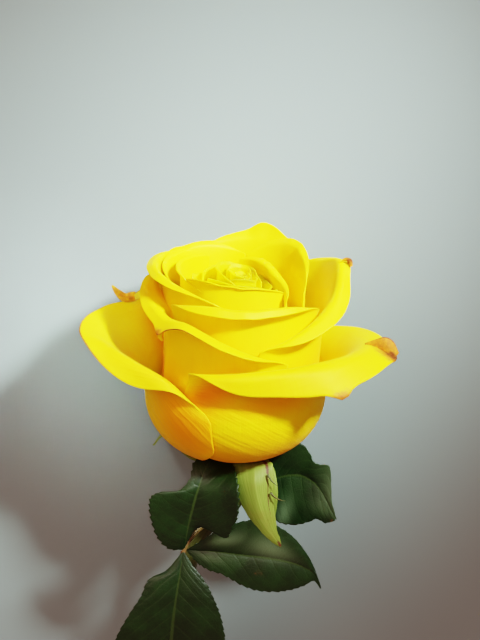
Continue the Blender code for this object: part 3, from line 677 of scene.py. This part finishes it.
def petals():
    """Every petal, from the outermost inwards."""
    for order, petal in enumerate(OUTER_PETALS + heart_petals()):
        columns, rows = (72, 56) if petal in OUTER_PETALS else (48, 44)
        finish, start = OWN_FINISHES.get(petal.name[:5], OTHERS_FINISH)

        # Painted shade: orange is painted low in the cup, below start, and in the painted shade spots, where
        # the bloom shades itself.
        def marks(s, t):
            deep = np.maximum(smooth((start - t) / 0.5), spots(petal.warm, s, t))
            return {"dried": spots(petal.dried, s, t), "depth": deep}
        bm = grid_sheet(columns, rows, lambda s, t: petal_points(petal, order, s, t), marks)
        node_name = petal.name if petal.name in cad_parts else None
        finished(f"{petal.name}_skin", bm, finish, node_name, PETAL_THICK)


# A browned scrap of rim that has curled over: points that its middle follows, its half width from end to end,
# how far each of its sides rolls round in degrees, and its browned spots.
Scrap = namedtuple("Scrap", "name line breadths roll dried")
SCRAPS = [
    Scrap("left_rim_curl",
        line=[(-27.5, 14.8, 36.7), (-30.1, 15.4, 36.3), (-32.1, 16.2, 37.6), (-33.7, 17.2, 39.3)],
        breadths=(2, 2, 1.4, 0.3), roll=95,
        dried=((0, 0.5, 3, 2, 0.5), (-1, 0.5, 0.3, 0.5, 0.95), (0, 0.1, 0.5, 0.2, 0.7))),
    Scrap("right_rim_fold",
        line=[(32.4, -8.4, 31.4), (35.1, -9.5, 31.5), (37.7, -10.2, 31.3), (40.3, -10.5, 29.1)],
        breadths=(0.3, 1.6, 2.3, 0.9), roll=30,
        dried=((0, 0.5, 3, 2, 0.64), (0.75, 0.55, 0.38, 0.6, 1), (-1, 0.6, 0.2, 0.6, 1),
            (0.3, 0.9, 0.5, 0.2, 0.95))),
    Scrap("upper_rim_curl", line=[(26.5, 3.5, 49.6), (28, 3, 50.4), (29.1, 2.4, 50.1), (29.4, 2, 48.9)],
        breadths=(0.2, 0.6, 0.7, 0.3), roll=80, dried=((0, 0.6, 3, 0.5, 0.85), (-1, 0.6, 0.6, 0.5, 1))),
    Scrap("hanging_rim_point",
        line=[(-18.9, -14.4, 37.6), (-19, -15.1, 36.7), (-18.9, -15.5, 35.8), (-18.4, -15.4, 34.7)],
        breadths=(0.7, 0.8, 0.5, 0.12), roll=40, dried=((1, 0.5, 0.2, 0.5, 0.7),)),
]


def scrap_points(scrap, s, t):
    """Points of a scrap's middle surface at s across and t along it, in millimetres."""
    place, way = along(scrap.line, t)
    side, out = crosswise(way)
    roll = math.radians(scrap.roll)
    half = across(scrap.breadths, 2 * t - 1) / roll
    return place + side * (half * np.sin(s * roll))[:, None] + out * (half * (1 - np.cos(s * roll)))[:, None]


def scraps():
    """The scraps of dried rim."""
    for scrap in SCRAPS:
        bm = grid_sheet(16, 24, lambda s, t: scrap_points(scrap, s, t),
                        lambda s, t: {"dried": spots(scrap.dried, s, t), "depth": 0 * s})
        finished(scrap.name, bm, PETAL, None, SCRAP_THICK)


# The hip's height and radius, evenly spaced along its skin from the stem to the top of the cone inside.
HIP_HEIGHTS = (-13, -12.2, -11, -9.5, -7.5, -5.5, -4, -2.9, -2.2, -1.5, 2, 5, 8)
HIP_RADII = (1.9, 2.1, 3, 4.3, 4.95, 4.95, 4.8, 5.3, 6, 6.2, 4.6, 3.3, 2)


def receptacle():
    """The hip: it swells from the stem to the rim that holds the sepals, with a cone that the petals sit on."""
    def place(angle, t):
        share, opened = domed(t)
        r = across(HIP_RADII, 2 * share - 1) * opened
        return np.stack([r * np.cos(angle), r * np.sin(angle), across(HIP_HEIGHTS, 2 * share - 1)], axis=-1)
    finished("hip", grid_tube(48, 60, place), SEPAL, "receptacle")


# ---- greenery

# A sepal that is folded up a little along its midrib: points that the midrib follows, the way that its upper
# face looks, half widths of its two sides from base to tip, and how browned its tip is.
Sepal = namedtuple("Sepal", "name rib face left right browned", defaults=(1,))
SEPAL_FOLD = 12
SEPAL_RELIEF = 0.1
EVEN_SEPAL = (3.6, 4.4, 3.4, 2.2, 0.9, 0.1)

SEPALS = [
    Sepal("sepal_right",
        rib=[(6.1, -1.5, -2.9), (8.8, -5.2, -4.9), (10.1, -7.6, -9), (10.1, -8.3, -14), (9.5, -8, -20)],
        face=(0.8, -0.8, 0), left=(2.2, 1.4, 0.8, 0.6, 0.4, 0.1), right=(3.2, 3.7, 3, 1.9, 0.8, 0.1)),
    Sepal("sepal_back_right",
        rib=[(3.3, 5.3, -2.9), (6.2, 10.3, -5.6), (7.7, 14, -10.4), (8.3, 16.3, -16.8), (8, 17, -24)],
        face=(0.4, 1, 0), left=EVEN_SEPAL, right=EVEN_SEPAL),
    Sepal("sepal_back_left",
        rib=[(-3.5, 5.2, -2.9), (-6.3, 9.4, -4.9), (-8.3, 12.5, -8.4), (-9.6, 14.2, -13.5), (-10.5, 15, -20)],
        face=(-0.6, 0.8, 0), left=EVEN_SEPAL, right=EVEN_SEPAL),
    Sepal("sepal_left",
        rib=[(-6.2, 0.9, -2.9), (-11, 1.9, -2.7), (-15.5, 2.8, -0.3), (-19.7, 3.5, 1.6), (-22.5, 4, -1.8)],
        face=(0, 0, -1), left=(3, 3.6, 2.9, 1.7, 0.7, 0.1), right=(3, 3.6, 2.9, 1.7, 0.7, 0.1), browned=0.4),
]

# A leaf: evenly spaced points that its midrib and its two margins follow from base to tip, how far its halves
# bow forward, its teeth as (number, depth) a side, how deep its veins lie, its browned spots, and its paler
# spots, which are painted sheen and, on the bract leaf, partly its lighter tone.
Leaf = namedtuple("Leaf", "name rib left right bow teeth relief dried pale", defaults=((), ()))
TOOTH_STAGGER = 0.4

LEAFLETS = [
    Leaf("leaflet_upper",
        rib=[(-14, -10.5, -25), (-13.1, -11.8, -19.6), (-12, -12.8, -14.2), (-10.9, -13.2, -9.7),
            (-9.8, -12.8, -5.9), (-8.5, -10.8, -2.6), (-6.2, -6.8, -0.4)],
        left=[(-14.3, -10.5, -25.3), (-17.9, -11.8, -24.4), (-20.7, -12.8, -20.8), (-22.1, -13.5, -16.1),
            (-22.7, -13.9, -11.6), (-22.2, -14, -8.4), (-19.8, -13.8, -7.2), (-15.6, -13.3, -7.4),
            (-12.2, -12.2, -4.2), (-11.1, -8.8, -0.8), (-7.2, -6.8, -0.4)],
        right=[(-13.8, -10.5, -24.4), (-10.8, -12, -18.6), (-7.2, -13.8, -16.8), (-3, -17.4, -18.4),
            (-0.1, -19.2, -12.2), (0.5, -19.4, -7.9), (0.4, -18.2, -4.4), (-0.2, -14.4, -2), (-1.2, -9.8, -1.1),
            (-3.2, -7.6, -0.6), (-5.6, -6.8, -0.4)],
        bow=(0.5, -0.6), teeth=(22, 0.6), relief=0.08, pale=((-0.1, 0.88, 0.5, 0.1, 0.2),)),
    Leaf("leaflet_right",
        rib=[(-13.2, -10.4, -25.6), (-6.1, -12.1, -25.1), (1.6, -13.2, -25.6), (8.7, -13.6, -26.3),
            (15.6, -13.3, -28.2), (20.4, -12.4, -31.6), (22.3, -11, -36.6)],
        left=[(-13.2, -10.4, -25.5), (-9.7, -11.7, -22.3), (-6.3, -12.9, -19.4), (-2.4, -13.8, -16.8),
            (2.4, -14.3, -15.1), (6.5, -14.6, -14.7), (10.4, -14.4, -16.4), (14.1, -13.9, -19.4),
            (17.1, -13.2, -23.5), (19.8, -12.1, -28.8), (22.4, -11, -36.6)],
        right=[(-13, -10.4, -26.1), (-10.8, -11.9, -28.1), (-7.6, -13.2, -29.9), (-3.4, -14.2, -30.9),
            (0.8, -14.8, -33.3), (5, -15.1, -34.9), (9.5, -14.8, -35.5), (13.8, -14.3, -35.3),
            (17.5, -13.5, -34.5), (20.3, -12.3, -33.6), (22.2, -11, -36.8)],
        bow=(0.6, 0.6), teeth=(22, 0.4), relief=0.07, dried=((0.45, 0.47, 0.16, 0.06, 0.22),),
        pale=((-0.3, 0.52, 0.3, 0.13, 1), (-0.6, 0.27, 0.22, 0.1, 0.85), (0.4, 0.16, 0.2, 0.08, 0.35))),
    Leaf("leaflet_end",
        rib=[(-14.3, -10.8, -26), (-15.1, -12.6, -31.5), (-16.2, -13.8, -38), (-17.1, -14.2, -45),
            (-17.8, -13.8, -53.2), (-18.2, -12.6, -61.8), (-18.5, -10.8, -70.9)],
        left=[(-14.6, -10.8, -26.3), (-18.8, -12.2, -30.9), (-23.3, -13.4, -32.7), (-25.4, -14.4, -37.1),
            (-28.4, -14.9, -41.9), (-31.5, -15.2, -47.5), (-33.5, -14.9, -53.1), (-33.5, -14.4, -59.1),
            (-30.8, -13.4, -64.1), (-25.2, -12.2, -68), (-18.8, -10.8, -71.1)],
        right=[(-14, -10.8, -26.1), (-11.2, -12.2, -30), (-8.3, -13.4, -33.7), (-6.2, -14.4, -37.7),
            (-4.6, -14.9, -41.9), (-3.5, -15.2, -46.9), (-3.1, -14.9, -52.5), (-4.5, -14.4, -58.1),
            (-7.8, -13.4, -63.4), (-12.9, -12.2, -68), (-18.2, -10.8, -71.1)],
        bow=(0.8, 0.8), teeth=(26, 0.4), relief=0.08, pale=((0.75, 0.8, 0.3, 0.14, 0.3),)),
    Leaf("bract_leaf",
        rib=[(6.1, 0.9, -13.8), (9.2, 0.6, -10.7), (12.9, 0.3, -9), (17.2, -0.2, -8.6), (20.9, -1.2, -10.5),
            (23.8, -2.8, -14.4), (26.4, -4.6, -19.4)],
        left=[(6.1, 0.9, -13.5), (7.2, 0.4, -7.4), (9.6, 0, -1.9), (13.3, -0.4, 0.9), (17, -0.9, 0.9),
            (19.2, -1.2, -1.4), (20.8, -1.8, -4.4), (24.5, -2.3, -5.1), (25.1, -3.1, -9.3), (25.4, -3.8, -14.8),
            (26.7, -4.6, -19.6)],
        right=[(6.1, 0.9, -14.1), (6.8, 0.4, -17.2), (7.9, 0, -19.3), (9.5, -0.4, -20.9), (11.4, -0.9, -22.2),
            (13.8, -1.2, -22.8), (16.5, -1.8, -22.4), (19.2, -2.3, -21.5), (21.7, -3.1, -20.1),
            (23.8, -3.8, -21), (26.3, -4.6, -19.9)],
        bow=(0.4, 0.4), teeth=(12, 0.3), relief=0.07, dried=((0.9, 0.97, 0.5, 0.04, 0.28),),
        pale=((-0.6, 0.86, 0.8, 0.15, 0.75), (0.8, 0.42, 0.3, 0.09, 0.9), (0.4, 0.8, 0.3, 0.12, 0.4))),
]

SEPAL_FRONT = Leaf(
    "sepal_front",
    rib=[(3.2, -6.8, -1.2), (4.5, -11.2, -0.9), (4.6, -14.2, -3.6), (5.1, -15.2, -7.6), (6.2, -15.5, -11.9),
        (8.2, -15.2, -16.6), (11.5, -14.6, -22.2)],
    left=[(0.5, -6.4, -1.1), (-2.4, -7.8, -1.5), (-1.9, -10.4, -3.8), (-1, -12, -6.2), (0.3, -13.2, -8.8),
        (1.8, -13.9, -11.6), (3.4, -14.3, -14.3), (5.2, -14.5, -17), (7.4, -14.6, -19.6), (9.8, -14.6, -21.4),
        (11.5, -14.6, -22.4)],
    right=[(6.6, -7, -1), (8.6, -9.4, -0.6), (9.3, -11.4, -0.8), (9.5, -12.4, -2.9), (9.5, -13, -5.8),
        (9.4, -13.4, -8.8), (9.5, -13.8, -11.4), (9.9, -14.2, -14.1), (10.4, -14.4, -17), (11.1, -14.6, -19.8),
        (11.6, -14.6, -22.2)],
    bow=(0.5, 0.3), teeth=(1, 0), relief=0,
    dried=((0.2, 1, 1, 0.06, 0.9), (0.66, 0.14, 0.09, 0.2, 0.95), (0.66, 0.5, 0.06, 0.25, 0.5),
        (0.3, 0.75, 0.3, 0.3, 0.2)),
)

# Thin lobes of the sepals: the four control points of each and its radius at its foot.
SEPAL_LOBES = [
    ("sepal_lobe_upper", [(7.9, -13.6, -2.2), (8.6, -14.6, -3.2), (9.4, -15, -4.2), (10.7, -15, -5)], 0.28),
    ("sepal_lobe_lower", [(8.6, -14.4, -6.9), (9.4, -15.2, -7.9), (10.7, -15.4, -8.7), (12.5, -15.2, -9)], 0.3),
    ("sepal_lobe_left", [(0.2, -11.6, -3.6), (-0.7, -12.6, -4.6), (-1.5, -13.2, -6), (-2.7, -13.6, -7.3)],
     0.26),
]


def vein_grooves(off, left, t, width, breadth):
    """How deep a leaf's veins lie, from 0 to a little over 1, at off from its midrib to its margin and t up."""
    phase = (t - VEIN_LEAN * (off + 0.6 * off**3)) * SIDE_VEINS + np.where(left, 0, VEIN_STAGGER)
    near = np.abs(phase % 1 - 0.5) * 2
    side = np.exp(-((1 - near) / breadth) ** 2) * smooth(off / 0.15) * smooth((1 - off) / 0.2)
    return side * np.minimum(width / 6, 1) + 1.3 * np.exp(-((off * width / 0.5) ** 2))


def leaf_points(leaf, s, t):
    """Points of a leaf's middle surface at s across and t from its base to its tip, in millimetres."""
    rib, _ = along(leaf.rib, t)
    left, off = s < 0, np.abs(s)
    out = np.where(left[:, None], along(leaf.left, t)[0], along(leaf.right, t)[0]) - rib
    width = np.maximum(np.linalg.norm(out, axis=1), 0.05)
    teeth, depth = leaf.teeth
    tooth = (t * teeth + np.where(left, TOOTH_STAGGER, 0)) % 1
    bite = depth * (tooth - 0.5) * smooth((off - 0.6) / 0.4) * np.minimum(width / 4, 1)
    bow = np.where(left, *leaf.bow) * 4 * off * (1 - off) * np.minimum(width / 10, 1)
    points = rib + out * (off * (1 + bite / width))[:, None]
    points[:, 1] -= bow - leaf.relief * vein_grooves(off, left, t, width, 0.25)
    return points


def sepal_points(sepal, s, t):
    """Points of a folded sepal's middle surface at s across and t from its base to its tip, in millimetres."""
    rib, way = along(sepal.rib, t)
    side = np.cross(way, np.array(sepal.face, float))
    side /= np.linalg.norm(side, axis=1, keepdims=True)
    up = np.cross(side, way)
    left, off = s < 0, np.abs(s)
    width = np.where(left, across(sepal.left, 2 * t - 1), across(sepal.right, 2 * t - 1))
    width = np.maximum(width, 0.05)
    fold = math.radians(SEPAL_FOLD)
    sideways = width * off * math.cos(fold)
    lift = width * off * math.sin(fold) - SEPAL_RELIEF * vein_grooves(off, left, t, width, 0.22)
    return rib + (np.sign(s) * sideways)[:, None] * side + lift[:, None] * up


def greenery():
    """The sepals with their lobes, and the leaves."""
    for sepal in SEPALS:
        bm = grid_sheet(20, 48, lambda s, t: sepal_points(sepal, s, t),
                        lambda s, t: {"dried": spots([(0, 1, 1, 0.12, sepal.browned)], s, t)})
        finished(f"{sepal.name}_skin", bm, SEPAL, sepal.name, SEPAL_THICK)
    bm = grid_sheet(32, 60, lambda s, t: leaf_points(SEPAL_FRONT, s, t),
                    lambda s, t: {"dried": spots(SEPAL_FRONT.dried, s, t)})
    finished("sepal_front_skin", bm, SEPAL, "sepal_front", SEPAL_THICK)
    for name, line, foot in SEPAL_LOBES:
        bm = round_tube(lambda t: bezier(line, t), lambda t, angle: foot * (1.15 - t), 10, 20)
        finished(name, bm, STEM, None)
    for leaf in LEAFLETS:
        bm = grid_sheet(40, 6 * leaf.teeth[0], lambda s, t: leaf_points(leaf, s, t),
                        lambda s, t: {"dried": spots(leaf.dried, s, t), "pale": spots(leaf.pale, s, t)})
        finished(f"{leaf.name}_skin", bm, LEAF, leaf.name, LEAF_THICK)


# The stem's middle line and radius, evenly spaced, and the slant of the cut at its end.
STEM_BENDS = [(0, 0, -13.6), (-0.5, 0, -16.5), (-4.2, 0, -19.9), (-8.7, 0, -24.4), (-12.2, 0.1, -31),
              (-14.2, 0.2, -40), (-15.2, 0.4, -53), (-15.8, 0.8, -72), (-16.2, 1.2, -99), (-16.6, 1.6, -131),
              (-17, 2, -165)]
STEM_RADII = (1.7, 2.1, 2.2, 2.2, 2.3, 2.3, 2.4, 2.4, 2.5)
STEM_SLANT = 0.7

# The leaves' stalks: four control points and evenly spaced radii.
STALKS = [
    ("leaf_stalk", [(-5.7, -1.2, -20.3), (-8.5, -6.0, -20.0), (-13, -8.6, -21.5), (-14.5, -10.6, -27.0)],
     (1.3, 0.9, 0.8, 0.7, 0.6)),
    ("bract_stalk", [(2.4, 0.5, -15.6), (3.4, 0.6, -15.0), (4.4, 0.8, -14.2), (5.5, 0.9, -13.6)],
     (0.9, 0.8, 0.6)),
]

# Prickles as (share of the stem's length, azimuth), how tall each is, how deep its foot is in the skin, and how
# far its point leans along the stem.
PRICKLES = [(0.56, 200), (0.66, 330), (0.74, 110), (0.83, 250), (0.92, 20)]
PRICKLE_HEIGHT = 4.6
PRICKLE_SUNK = 0.3
PRICKLE_LEAN = 1.5


def stem_skin(t, angle):
    """The stem's radius at t from its top and at this angle round it, a little ridged and knotty."""
    return between(STEM_RADII, t) * (1 + 0.03 * np.sin(3 * angle + 9 * t) + 0.03 * np.sin(31 * t))


def stems():
    """The stem and the leaves' stalks."""
    finished("stem_skin", round_tube(lambda t: along(STEM_BENDS, t), stem_skin, 32, 160, STEM_SLANT),
             STEM, "stem")
    for name, controls, radii in STALKS:
        bm = round_tube(lambda t: bezier(controls, t), lambda t, angle: between(radii, t), 16, 32)
        finished(f"{name}_skin", bm, STALK, name)


def prickles():
    """The prickles, each a blade that tapers from a long foot on the stem."""
    for number, (share, azimuth) in enumerate(PRICKLES, 1):
        (centre,), (way,) = along(STEM_BENDS, np.array([share]))
        turn = math.radians(azimuth)
        out = np.array([math.cos(turn), math.sin(turn), 0])
        out -= way * out.dot(way)
        out /= np.linalg.norm(out)
        foot = centre + out * (float(between(STEM_RADII, share)) - PRICKLE_SUNK)
        side = np.cross(way, out)

        def place(angle, t):
            half_long = 2.6 * (1 - t) ** 1.6 + 0.45 * (1 - t) ** 0.6
            half_wide = 1.0 * (1 - t) ** 1.6 + 0.40 * (1 - t) ** 0.6
            return (foot + (PRICKLE_HEIGHT * t**0.9)[:, None] * out
                    + (PRICKLE_LEAN * t**1.6 + half_long * np.cos(angle))[:, None] * way
                    + (half_wide * np.sin(angle))[:, None] * side)
        bm = grid_tube(20, 16, place)
        bmesh.ops.holes_fill(bm, edges=[e for e in bm.edges if e.is_boundary], sides=0)
        bmesh.ops.recalc_face_normals(bm, faces=bm.faces)
        finished(f"prickle_{number}_skin", bm, PRICKLE, f"prickle_{number}")


# ---- surroundings

FLOOR_COLOUR = (0.190, 0.250, 0.248)
FLOOR_HALF = 1.5
WORLD_COLOUR = (1.0, 0.56, 0.50)
WORLD_STRENGTH = 0.43
COOL_WHITE = (0.93, 1.0, 0.97)
WARM_WHITE = (1.0, 0.72, 0.62)

# A square light: the way to it from LIT_AT, how far off it is, its size, power and colour, how far from LIT_AT
# it's aimed, and its spread in degrees. LIT_AT is in the rose's own frame, the rest in the row frame's metres.
Light = namedtuple("Light", "name toward far size power colour aim spread")
LIT_AT = (0, 0, 25)
LIGHTS = [
    Light("key_light", (0.54, 0.55, 0.64), 0.45, 0.055, 0.202, COOL_WHITE, (0.010, 0.048, 0), 28),
    Light("floor_light", (-0.25, 0.42, 0.45), 0.55, 0.03, 0.0085, COOL_WHITE, (-0.048, -0.002, -0.034), 7.5),
    Light("fill_light", (-0.3, 0.5, 0.8), 1.0, 0.9, 5.2, WARM_WHITE, (0, 0, 0), 180),
]

# The camera looks along a line this many degrees from square to the flower's axis. It aims this far right of
# the flower's origin and above it in the picture, and stands this far off: metres, and millimetres in the lens.
CAMERA_SLOPE = 18
AIM_RIGHT = 0.0008
AIM_UP = 0.0334
CAMERA_AWAY = 0.346
LENS = 73
SENSOR_WIDTH = 36


def surroundings():
    """The floor, the light all round, and the lights."""
    bm = bmesh.new()
    bmesh.ops.create_grid(bm, x_segments=4, y_segments=4, size=FLOOR_HALF)
    made, _, shader = new_finish("pale_floor")
    shader.inputs["Base Color"].default_value = (*FLOOR_COLOUR, 1)
    shader.inputs["Roughness"].default_value = 0.8
    floor = placed_mesh("floor", bm, made)

    world = bpy.data.worlds.new("studio")
    SCENE.world = world
    world.use_nodes = True
    back = world.node_tree.nodes["Background"].inputs
    back[0].default_value, back[1].default_value = (*WORLD_COLOUR, 1), WORLD_STRENGTH

    middle = Vector(laid([LIT_AT])[0])
    for light in LIGHTS:
        shine = bpy.data.lights.new(light.name, "AREA")
        shine.size, shine.energy, shine.color = light.size, light.power, light.colour
        shine.spread = math.radians(light.spread)
        at = middle + Vector(light.toward).normalized() * light.far
        facing = (at - middle - Vector(light.aim)).to_track_quat("Z", "Y").to_matrix().to_4x4()
        placed(light.name, shine).matrix_world = Matrix.Translation(at) @ facing


def camera():
    """The camera above the lying rose, and how its picture is developed."""
    down = math.radians(CAMERA_SLOPE - AXIS_SLOPE)
    away = Vector((0, math.sin(down), math.cos(down)))
    up = Vector((0, math.cos(down), -math.sin(down)))
    right = Vector((1, 0, 0))
    eye = Vector(FLOWER_AT) * MM + up * AIM_UP + right * AIM_RIGHT + away * CAMERA_AWAY
    lens = bpy.data.cameras.new("camera")
    lens.lens, lens.sensor_width = LENS, SENSOR_WIDTH
    lens.clip_start, lens.clip_end = 0.01, 20
    made = placed("camera", lens)
    made.matrix_world = Matrix.Translation(eye) @ Matrix((right, up, away)).transposed().to_4x4()
    SCENE.camera = made
    SCENE.view_settings.view_transform = "Filmic"
    SCENE.view_settings.look = "High Contrast"


petals()
scraps()
receptacle()
greenery()
stems()
prickles()
surroundings()
camera()
